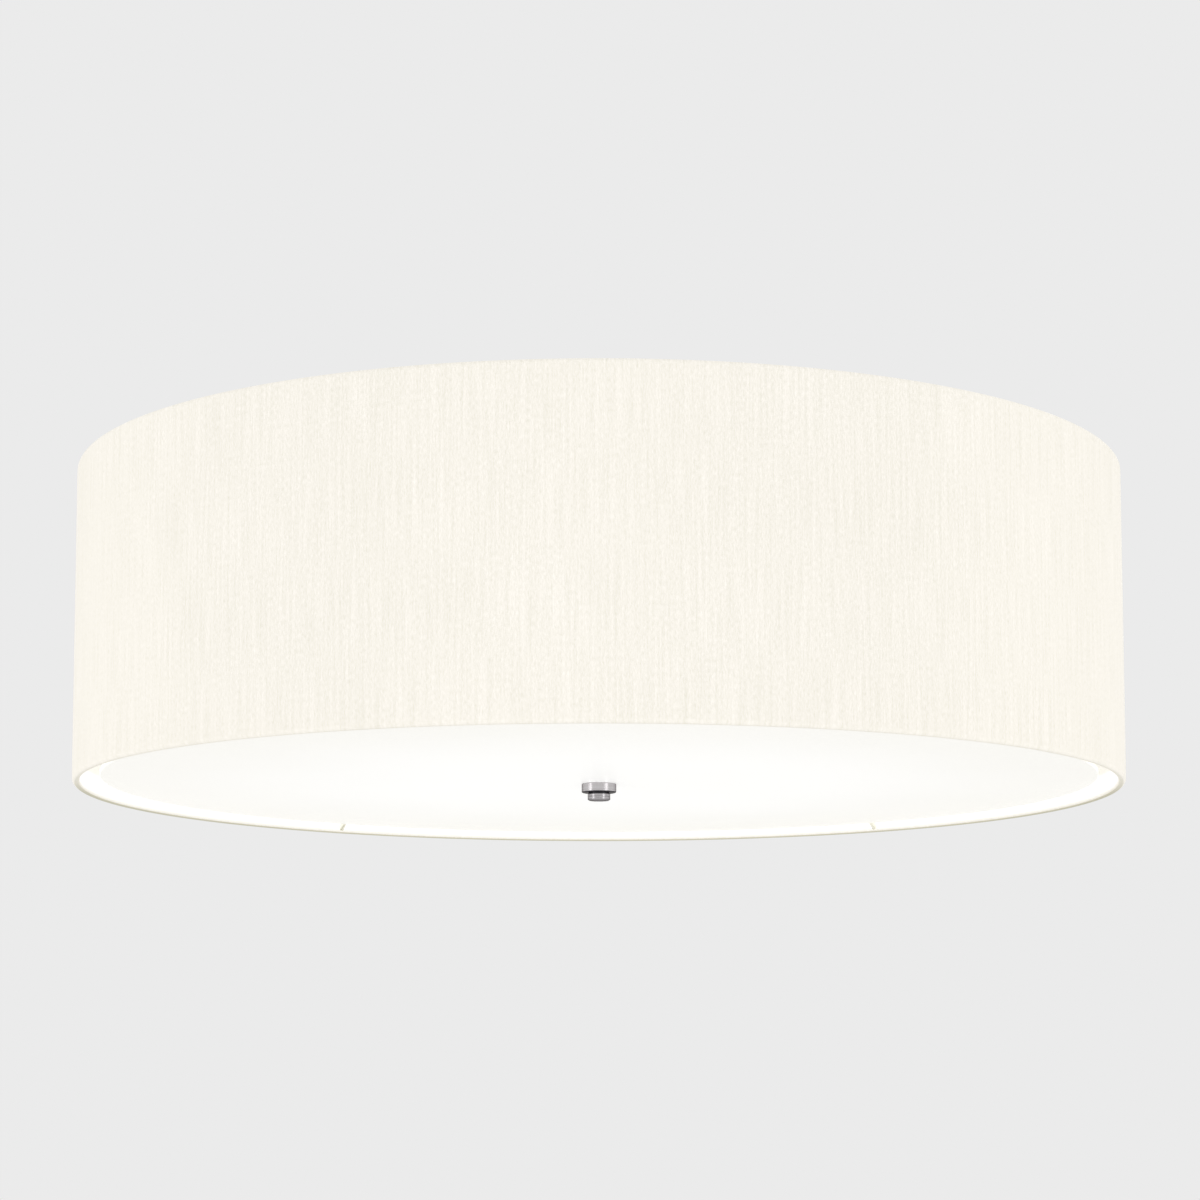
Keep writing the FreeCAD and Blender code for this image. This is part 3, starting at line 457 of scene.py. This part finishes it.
def makeBrushedNickel(name, dark, light):
    # turned brass with brushed nickel plate: cool grey metal, brushed round its own axis
    material, tree, shader = newMaterial(name, {
        "Metallic": 1.0, "Roughness": nickel["roughness"], "Anisotropic": nickel["anisotropy"],
        "Anisotropic Rotation": nickel["brushTurn"], "Specular Tint": nickel["edgeTint"]})
    parts = objectParts(tree)
    rings = addNode(tree, "CombineXYZ", None, {
        "X": reachFromAxis(tree, parts), "Y": 0.0, "Z": parts["Z"]})
    marks = stretchedNoise(tree, rings.outputs[0],
                           (nickel["marksPerMetre"], 1.0, nickel["marksPerMetre"]))
    setSocket(tree, shader.inputs["Base Color"],
              toneColour(tree, marks, *nickel["markSpread"], dark, light))
    bumpFrom(tree, shader, marks, nickel["markDepth"], nickel["markStrength"])
    turned = addNode(tree, "Tangent", {"direction_type": "RADIAL", "axis": "Z"})
    setSocket(tree, shader.inputs["Tangent"], turned.outputs["Tangent"])
    return material


brushedNickel = makeBrushedNickel("brushedNickel", "#AFACAE", "#DAD7D9")
# the knob takes a darker copy of the same nickel: painted shade, for the shaded underside of the
# collar that it reflects
knobNickelPaintedShade = makeBrushedNickel("brushedNickelKnobPaintedShade", "#969497", "#D9D6D8")
# painted shade: a dark copy of the nickel on the undercut and the underside, where shade falls
nickelPaintedShade = makeBrushedNickel("nickelInPaintedShade", "#5B5A5E", "#77767A")
print("stage: materials")

meshing = {
    # points closer than this become one: in a drawn outline, and in a copy of a CAD node
    "outlineWeld": 0.000002, "cadWeld": 0.00002,
    # small bevels go on corners sharper than this, in degrees
    "bevelSegments": 2, "bevelFrom": 40.0,
    # size of the small plane that is merged to a thread's first point
    "seedSize": 0.001,
}


def selectWhere(piece, parts, test):
    # leaves edit mode with just the edges or polygons selected for which the test holds
    activate(piece)
    bpy.ops.object.mode_set(mode="EDIT")
    bpy.ops.mesh.select_mode(type={"edges": "EDGE", "polygons": "FACE"}[parts])
    bpy.ops.mesh.select_all(action="DESELECT")
    bpy.ops.object.mode_set(mode="OBJECT")
    for item in getattr(piece.data, parts):
        item.select = test(item)
    bpy.ops.object.mode_set(mode="EDIT")


def faceOutwards():
    # called in edit mode, and leaves it
    bpy.ops.mesh.select_all(action="SELECT")
    bpy.ops.mesh.normals_make_consistent(inside=False)
    bpy.ops.object.mode_set(mode="OBJECT")


def drawOut(here, points):
    # extrudes the selected ring of edges through (radius, height) points about the Z axis
    radius, height = here
    for newRadius, newHeight in points:
        bpy.ops.mesh.extrude_region_move(
            TRANSFORM_OT_translate={"value": (0, 0, newHeight - height)})
        size = newRadius / radius
        bpy.ops.transform.resize(value=(size, size, 1), center_override=(0, 0, newHeight))
        radius, height = newRadius, newHeight


def turnedPiece(name, points, segments, isRing=False):
    # turns an outline of (radius, height) points as a lathe would: a ring's last edge meets its
    # first, and a solid's two open ends get small flat caps
    deselectAll()
    radius, height = points[0]
    bpy.ops.mesh.primitive_circle_add(vertices=segments, radius=radius, fill_type="NOTHING",
                                      location=(0, 0, 0))
    piece = bpy.context.object
    piece.name = name
    bpy.ops.object.mode_set(mode="EDIT")
    bpy.ops.mesh.select_mode(type="EDGE")
    bpy.ops.mesh.select_all(action="SELECT")
    bpy.ops.transform.translate(value=(0, 0, height))
    drawOut(points[0], points[1:])
    bpy.ops.mesh.select_all(action="SELECT")
    bpy.ops.mesh.remove_doubles(threshold=meshing["outlineWeld"])
    if not isRing:
        bpy.ops.mesh.select_all(action="DESELECT")
        bpy.ops.mesh.select_mode(type="EDGE")
        bpy.ops.mesh.select_non_manifold()
        bpy.ops.mesh.edge_face_add()
    faceOutwards()
    return piece


def openDrum(name, radius, low, high):
    deselectAll()
    bpy.ops.mesh.primitive_cylinder_add(
        vertices=cloth["segments"], radius=radius, depth=high - low, end_fill_type="NOTHING",
        location=(0, 0, (high + low) / 2))
    piece = bpy.context.object
    piece.name = name
    bakePlace(piece)
    return piece


def thicken(piece, modifierName, thickness, isEven=False):
    # the same to both sides of the drawn faces
    modifier = piece.modifiers.new(modifierName, "SOLIDIFY")
    modifier.thickness = thickness
    modifier.offset = 0.0
    modifier.use_even_offset = isEven
    applyModifiers(piece)


def paintFaces(piece, materials, zone):
    # zone tells which of the materials a face takes
    for material in materials:
        piece.data.materials.append(material)
    for face in piece.data.polygons:
        face.material_index = int(zone(face))


def finishPiece(piece, material, body, slotName, *nodes, smooth=35.0, bevel=0.0):
    activate(piece)
    if bevel:
        modifier = piece.modifiers.new("edgeBreak", "BEVEL")
        modifier.width = bevel
        modifier.segments = meshing["bevelSegments"]
        modifier.limit_method = "ANGLE"
        modifier.angle_limit = math.radians(meshing["bevelFrom"])
        applyModifiers(piece)
    bpy.ops.object.shade_smooth_by_angle(angle=math.radians(smooth))
    if bevel:
        # the wide faces stay flat beside their small bevels
        piece.modifiers.new("flatFaces", "WEIGHTED_NORMAL").keep_sharp = True
        applyModifiers(piece)
    if material:
        piece.data.materials.clear()
        piece.data.materials.append(material)
    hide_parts(*nodes)
    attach(piece, body)


def woundThread(name, section, pitch, turns, steps):
    # a closed section of (radius, height) points, wound up the Z axis as a right-hand thread
    deselectAll()
    bpy.ops.mesh.primitive_plane_add(size=meshing["seedSize"], location=(0, 0, 0))
    piece = bpy.context.object
    piece.name = name
    bpy.ops.object.mode_set(mode="EDIT")
    bpy.ops.mesh.select_mode(type="VERT")
    bpy.ops.mesh.select_all(action="SELECT")
    bpy.ops.mesh.merge(type="CENTER")
    radius, height = section[0]
    bpy.ops.transform.translate(value=(radius, 0, height))
    for newRadius, newHeight in section[1:]:
        bpy.ops.mesh.extrude_region_move(TRANSFORM_OT_translate={
            "value": (newRadius - radius, 0, newHeight - height)})
        radius, height = newRadius, newHeight
    bpy.ops.mesh.select_all(action="SELECT")
    bpy.ops.mesh.edge_face_add()
    bpy.ops.mesh.delete(type="ONLY_FACE")
    bpy.ops.object.mode_set(mode="OBJECT")
    winding = piece.modifiers.new("winding", "SCREW")
    winding.screw_offset = pitch
    winding.iterations = turns
    winding.steps = winding.render_steps = steps
    applyModifiers(piece)
    bpy.ops.object.mode_set(mode="EDIT")
    bpy.ops.mesh.select_all(action="SELECT")
    bpy.ops.mesh.fill_holes(sides=0)
    faceOutwards()
    return piece


def joinTo(piece, other):
    activate(piece)
    other.select_set(True)
    bpy.ops.object.join()


def hemOutline(level, side):
    # round the wire, then up the inside of the liner; side is 1 at the bottom, -1 at the top
    lean = math.radians(cloth["lean"])
    sweep = math.pi + lean
    points = []
    for step in range(1, cloth["arcSteps"] + 1):
        turn = sweep * step / cloth["arcSteps"]
        points.append((ringRadius + hemRadius * math.cos(turn),
                       level - side * hemRadius * math.sin(turn)))
    radius, height = points[-1]
    climb = (tuckRadius - radius) / math.tan(lean)
    points.append((tuckRadius, height + side * climb))
    points.append((tuckRadius, level + side * cloth["tuckHeight"]))
    return points


def lengthOf(points):
    return sum(math.dist(a, b) for a, b in zip(points, points[1:]))


# the shade's cloth: the wall, with a hem drawn out from each of its ends
shadeFabric = openDrum("shadeFabric", clothRadius, lowRingLevel, topRingLevel)
hems = {lowRingLevel: hemOutline(lowRingLevel, 1), topRingLevel: hemOutline(topRingLevel, -1)}
for level, hem in hems.items():
    selectWhere(shadeFabric, "edges", lambda e, z=level: all(
        abs(shadeFabric.data.vertices[v].co.z - z) < cloth["levelTolerance"]
        for v in e.vertices))
    drawOut((clothRadius, level), hem)

# where the cloth's ends lap, the wall has a second layer
seam = math.radians(cloth["seamAngle"])
halfLap = cloth["lapWidth"] / 2 / clothRadius


def onLap(face):
    around = math.atan2(face.center.y, face.center.x) - seam
    return abs(around) < halfLap + cloth["lapMargin"] \
        and abs(face.normal.z) < cloth["lapTilt"] \
        and face.center.xy.length > clothRadius - cloth["lapDepth"]


selectWhere(shadeFabric, "polygons", onLap)
bpy.ops.mesh.duplicate()
lapSize = (clothRadius + cloth["thickness"]) / clothRadius
bpy.ops.transform.resize(value=(lapSize, lapSize, 1), center_override=(0, 0, wallMiddle))
bpy.ops.object.mode_set(mode="OBJECT")


def clothZone(face):
    # 0 on the wall, 1 round the lower wire, 2 where the cloth is turned in above it
    if face.center.z < lowRingLevel + cloth["hemZone"]:
        return 1
    isTurnedIn = face.center.xy.length < clothRadius - cloth["turnedInFrom"]
    tuckEnd = lowRingLevel + cloth["tuckHeight"] + cloth["tuckMargin"]
    return 2 if isTurnedIn and face.center.z < tuckEnd else 0


paintFaces(shadeFabric, (clothWall, clothHem, clothTuck), clothZone)
activate(shadeFabric)
bpy.ops.object.mode_set(mode="EDIT")
faceOutwards()
thicken(shadeFabric, "clothThickness", cloth["thickness"], isEven=True)

# slits in the lower hem where the spider's spokes leave the wire
rise = math.radians(cloth["spokeRise"])
cutters = []
for k in range(cloth["spokeCount"]):
    around = math.radians(cloth["firstSpoke"] + k * 360 / cloth["spokeCount"])
    outward = Vector((math.cos(around), math.sin(around), 0))
    along = -outward * math.cos(rise) + Vector((0, 0, math.sin(rise)))
    centre = outward * ringRadius + Vector((0, 0, lowRingLevel)) + along * cloth["slitMiddle"]
    deselectAll()
    bpy.ops.mesh.primitive_cylinder_add(
        vertices=cloth["slitSides"], radius=cloth["slitRadius"], depth=cloth["slitLength"],
        location=centre, rotation=along.to_track_quat("Z", "Y").to_euler())
    cutters.append(bpy.context.object)
for cutter in cutters:
    slit = shadeFabric.modifiers.new("spokeSlit", "BOOLEAN")
    slit.operation = "DIFFERENCE"
    slit.object = cutter
    slit.solver = "EXACT"
applyModifiers(shadeFabric)
for cutter in cutters:
    bpy.data.objects.remove(cutter)

# the width of the sheet that the cloth is cut from, across the wall and both hems
flatWidth = topRingLevel - lowRingLevel
for level, hem in hems.items():
    flatWidth += lengthOf([(clothRadius, level)] + hem)
finishPiece(shadeFabric, None, "fixture", "shade_fabric", "shade_fabric", smooth=50.0)

# the liner behind the cloth, drawn a tenth thinner, so that its faces stay off the cloth's
linerShare = 0.9
shadeLiner = openDrum("shadeLiner", linerHigh.x - cloth["linerThickness"] / 2,
                      linerLow.z, linerHigh.z)
thicken(shadeLiner, "laminateThickness", cloth["linerThickness"] * linerShare)
finishPiece(shadeLiner, linerLaminate, "fixture", "shade_liner", "shade_liner")
print("stage: liner")

disc = {
    "segments": 256, "holeRadius": 0.0046,
    # rows of faces between the hole and the edge, so that none is very long
    "rows": (0.06, 0.14, 0.21),
    # the edge's round has one point between its ends, this share of it in from the corner
    "edgeRound": 0.0008, "roundInset": 0.29,
    # faces within this depth of the upper side take the dimmer glow
    "skin": 0.0001,
}
radius, low, high = diffuserHigh.x, diffuserLow.z, diffuserHigh.z
edge, inset = disc["edgeRound"], disc["roundInset"] * disc["edgeRound"]
discRows = (disc["holeRadius"], *disc["rows"])
diffuserDisc = turnedPiece("diffuserDisc", [
    *((row, low) for row in discRows), (radius - edge, low), (radius - inset, low + inset),
    (radius, low + edge), (radius, high - edge), (radius - inset, high - inset),
    (radius - edge, high), *((row, high) for row in reversed(discRows)), (discRows[0], low)],
    disc["segments"], isRing=True)
paintFaces(diffuserDisc, (opalAcrylic, opalAcrylicBack),
           lambda face: face.center.z > high - disc["skin"])
finishPiece(diffuserDisc, None, "diffuser", "opal_disc", "diffuser")
print("stage: diffuser")

collar = {
    "segments": 128, "boreRadius": 0.0043, "chamfer": 0.0003, "edgeBreak": 0.0001,
    # a row of faces on the lower side, as a share of the radius
    "faceRow": 0.62,
    # the upper side is turned down round the bore
    "reliefDepth": 0.0006,
    # a face that points down more than this is on the underside
    "undersideNormal": -0.5,
}
collarLow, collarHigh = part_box("finial_collar")
radius, low, high = collarHigh.x, collarLow.z, collarHigh.z
chamfer, bore = collar["chamfer"], collar["boreRadius"]
relief, reliefLevel = (radius + bore) / 2, high - collar["reliefDepth"]
finialCollar = turnedPiece("finialCollar", [
    (bore, low), (radius * collar["faceRow"], low), (radius - chamfer, low),
    (radius, low + chamfer), (radius, high - chamfer), (radius - chamfer, high),
    (relief, high), (relief, reliefLevel), (bore, reliefLevel), (bore, low)],
    collar["segments"], isRing=True)
# the collar's underside takes the painted shade
paintFaces(finialCollar, (brushedNickel, nickelPaintedShade),
           lambda face: face.center.z < low + chamfer
           and face.normal.z < collar["undersideNormal"])
finishPiece(finialCollar, None, "finial", "brushed_nickel", "finial_collar",
            bevel=collar["edgeBreak"], smooth=30.0)

knob = {
    "segments": 128, "poleRadius": 0.0008, "lowerChamfer": 0.0008, "edgeBreak": 0.00006,
    # the lower side is slightly crowned: a row at this share of the radius and the chamfer's
    # start lie a little higher than the middle
    "crownRow": 0.35, "crownRise": 0.00005, "crownEdge": 0.00018,
    # a fine groove round it, at a share of its height
    "grooveLevel": 0.45, "grooveDepth": 0.00015, "grooveHalf": 0.0001,
    # the undercut below the collar, and how far below it the painted shade starts
    "neckDepth": 0.0006, "neckHeight": 0.0008, "neckSlope": 0.0003, "neckMargin": 0.0002,
    # the blind bore that takes the rod's end
    "boreRadius": 0.00405, "boreDepth": 0.0033,
}
knobLow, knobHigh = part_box("finial_knob")
radius, low, high = knobHigh.x, knobLow.z, knobHigh.z
chamfer, pole = knob["lowerChamfer"], knob["poleRadius"]
neck, neckLevel = radius - knob["neckDepth"], high - knob["neckHeight"]
groove, grooveHalf = radius - knob["grooveDepth"], knob["grooveHalf"]
grooveLevel = low + (high - low) * knob["grooveLevel"]
bore, boreEnd = knob["boreRadius"], high - knob["boreDepth"]
finialKnob = turnedPiece("finialKnob", [
    (pole, low), (radius * knob["crownRow"], low + knob["crownRise"]),
    (radius - chamfer, low + knob["crownEdge"]), (radius, low + chamfer),
    (radius, grooveLevel - grooveHalf), (groove, grooveLevel), (radius, grooveLevel + grooveHalf),
    (radius, neckLevel - knob["neckSlope"]), (neck, neckLevel), (neck, high),
    (bore, high), (bore, boreEnd), (pole, boreEnd)], knob["segments"])
# the undercut takes the painted shade, the rest of the knob its darker copy
paintFaces(finialKnob, (knobNickelPaintedShade, nickelPaintedShade),
           lambda face: face.center.z > neckLevel - knob["neckMargin"])
finishPiece(finialKnob, None, "finial", "brushed_nickel", "finial_knob",
            bevel=knob["edgeBreak"], smooth=30.0)
print("stage: finial")

rod = {
    # an M8 thread; half its flat crest and half its root's width are in pitches
    "pitch": 0.00125, "threadDepth": 0.00067, "crestShare": 0.08, "rootShare": 0.48,
    # the thread sinks into the core, so that no gap shows between them
    "sink": 0.0002,
    "chamfer": 0.0008, "chamferHeight": 0.0003, "poleRadius": 0.0004,
    "segments": 48, "steps": 24,
}
rodLow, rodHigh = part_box("stem_rod")
low, high, pole = rodLow.z, rodHigh.z, rod["poleRadius"]
crest, root = rodHigh.x, rodHigh.x - rod["threadDepth"]
tip, tipHeight = crest - rod["chamfer"], rod["chamferHeight"]
stemRod = turnedPiece("stemRod", [
    (pole, low), (tip, low), (root, low + tipHeight), (root, high - tipHeight), (tip, high),
    (pole, high)], rod["segments"])
rodTurns = int((high - low - 2 * rod["chamfer"]) / rod["pitch"]) - 1
threadLow = (low + high - rodTurns * rod["pitch"]) / 2
halfRoot, halfCrest = rod["rootShare"] * rod["pitch"], rod["crestShare"] * rod["pitch"]
joinTo(stemRod, woundThread("rodThread", [
    (root - rod["sink"], threadLow - halfRoot), (root, threadLow - halfRoot),
    (crest, threadLow - halfCrest), (crest, threadLow + halfCrest),
    (root, threadLow + halfRoot), (root - rod["sink"], threadLow + halfRoot)],
    rod["pitch"], rodTurns, rod["steps"]))
finishPiece(stemRod, zincPlate, "fixture", "zinc_steel", "stem_rod", smooth=40.0)
print("stage: threaded rod,", rodTurns, "turns")

# the lamps' screw caps, modelled once and copied
lampCap = {
    # seven threads to the inch, rolled in thin metal, so crest and root are round
    "pitch": 0.0254 / 7, "crest": 0.01305, "root": 0.01213, "turns": 4, "threadStart": 0.0016,
    # half of the thread's section: radii from the root, and one in from the crest, each with
    # its distance from the crest's middle in pitches, of which this share is drawn
    "flank": ((-0.0004, 0.50), (0.0, 0.44), (0.00022, 0.33)), "crestRound": (0.00012, 0.13),
    "drawnShare": 0.96,
    # the insulator's cone, the shell's shoulder, and the plain skirt at its open end
    "poleRadius": 0.0008, "baseRadius": 0.0048, "insulator": 0.0032, "shoulder": 0.0012,
    "coneInset": 0.0022, "coneHeight": 0.0004, "rimInset": 0.0012,
    "skirt": 0.0035, "skirtFlare": 0.0008,
    # what lies this far below the cone's rim and in from the crest is glass
    "glassDepth": 0.0001, "glassInset": 0.0015,
    "segments": 64, "steps": 64,
}
capLow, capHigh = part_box("lamp_1_cap")
capLevel = (capLow.z + capHigh.z) / 2
# the first lamp points between X and Y, so its box gives lengths along a diagonal
diagonal = math.sqrt(0.5)
crest, root, pitch = lampCap["crest"], lampCap["root"], lampCap["pitch"]
pole = lampCap["poleRadius"]
shellStart = capLow.x / diagonal + crest
shellEnd = capHigh.x / diagonal - crest
skirtStart = shellEnd - lampCap["skirt"]
cone = shellStart - lampCap["shoulder"]
base = cone - lampCap["insulator"]
screwCap = turnedPiece("screwCap", [
    (pole, base), (lampCap["baseRadius"], base),
    (crest - lampCap["coneInset"], cone - lampCap["coneHeight"]),
    (crest - lampCap["rimInset"], cone), (root, shellStart), (root, skirtStart),
    (crest, skirtStart + lampCap["skirtFlare"]), (crest, shellEnd), (pole, shellEnd)],
    lampCap["segments"])
roundDrop, roundShare = lampCap["crestRound"]
flank = [(root + step, share) for step, share in lampCap["flank"]]
flank.append((crest - roundDrop, roundShare))
bead = [(radius, -share) for radius, share in flank] + [(crest, 0.0)] + flank[::-1]
threadStart = shellStart + lampCap["threadStart"]
joinTo(screwCap, woundThread("capThread", [
    (radius, threadStart + share * pitch * lampCap["drawnShare"]) for radius, share in bead],
    pitch, lampCap["turns"], lampCap["steps"]))
paintFaces(screwCap, (spunAluminium, blackGlass),
           lambda face: face.center.z < cone - lampCap["glassDepth"]
           and face.center.xy.length < crest - lampCap["glassInset"])
for n, lampAngle in enumerate(lampAngles, start=1):
    cap = screwCap.copy()
    cap.data = screwCap.data.copy()
    cap.name = f"lamp{n}Cap"
    bpy.context.scene.collection.objects.link(cap)
    # made standing on the origin, then laid along its lamp's axis
    cap.rotation_euler = (0, math.radians(90), lampAngle)
    cap.location = (0, 0, capLevel)
    bakePlace(cap)
    finishPiece(cap, None, f"lamp_{n}", "lamp_cap_metal", f"lamp_{n}_cap")
bpy.data.objects.remove(screwCap)
print("stage: screw caps")


def refinedCopy(node, material, slotName, body):
    # a CAD node that keeps its shape: a merged copy takes smooth shading and its material
    source = bpy.data.objects[node]
    piece = source.copy()
    piece.data = source.data.copy()
    bpy.context.scene.collection.objects.link(piece)
    words = node.split("_")
    piece.name = words[0] + "".join(word.capitalize() for word in words[1:])
    piece.parent = None
    piece.matrix_world = Matrix.Identity(4)
    for key in list(piece.keys()):
        del piece[key]
    piece.hide_render = piece.hide_viewport = False
    activate(piece)
    bpy.ops.object.mode_set(mode="EDIT")
    bpy.ops.mesh.select_all(action="SELECT")
    bpy.ops.mesh.remove_doubles(threshold=meshing["cadWeld"])
    bpy.ops.mesh.tris_convert_to_quads()
    bpy.ops.object.mode_set(mode="OBJECT")
    finishPiece(piece, material, body, slotName, node, smooth=32.0)


# what hangs from the ceiling and doesn't move, by material and slot
fixedNodes = {
    (powderCoat, "white_wire"): ["shade_top_ring", "shade_bottom_ring", "spider_hub"],
    (litWire, "white_wire"): ["spider_spokes"],
    (powderCoat, "white_steel"): ["ceiling_pan", "lamp_carrier"],
    (zincPlate, "zinc_steel"): [
        "hub_lower_nut", "hub_upper_nut", "stem_upper_nut", "stem_lower_nut", "stem_washers",
        "mounting_bracket", "pan_screws", "pan_screw_washers", "holder_nipples", "holder_nuts",
        "terminal_screws", "block_screws", "earth_screw"],
    (rolledBrass, "brass_parts"): ["holder_contacts", "earth_lug"],
    (mouldedNylon, "block_plastic"): ["terminal_block"],
    (mouldedSilicone, "soft_washer"): ["lead_grommets"],
    (earthSheath, "earth_sheath"): ["earth_lead"],
}
for (material, slotName), nodes in fixedNodes.items():
    for node in nodes:
        refinedCopy(node, material, slotName, "fixture")
refinedCopy("diffuser_gasket", mouldedSilicone, "soft_washer", "diffuser")
for n in range(1, lampCount + 1):
    refinedCopy(f"holder_body_{n}", mouldedHolder, "holder_plastic", "fixture")
    refinedCopy(f"holder_sleeve_{n}", rolledBrass, "brass_parts", "fixture")
    refinedCopy(f"holder_lead_{n}", whiteSheath, "lead_sheath", "fixture")
    refinedCopy(f"lamp_{n}_contact", rolledBrass, "brass_parts", f"lamp_{n}_contact")
    refinedCopy(f"lamp_{n}_housing", mouldedHousing, "lamp_housing_plastic", f"lamp_{n}")
    refinedCopy(f"lamp_{n}_globe", opalGlobe, "lamp_globe_opal", f"lamp_{n}")
print("stage: fixture, lampholders and lamps")
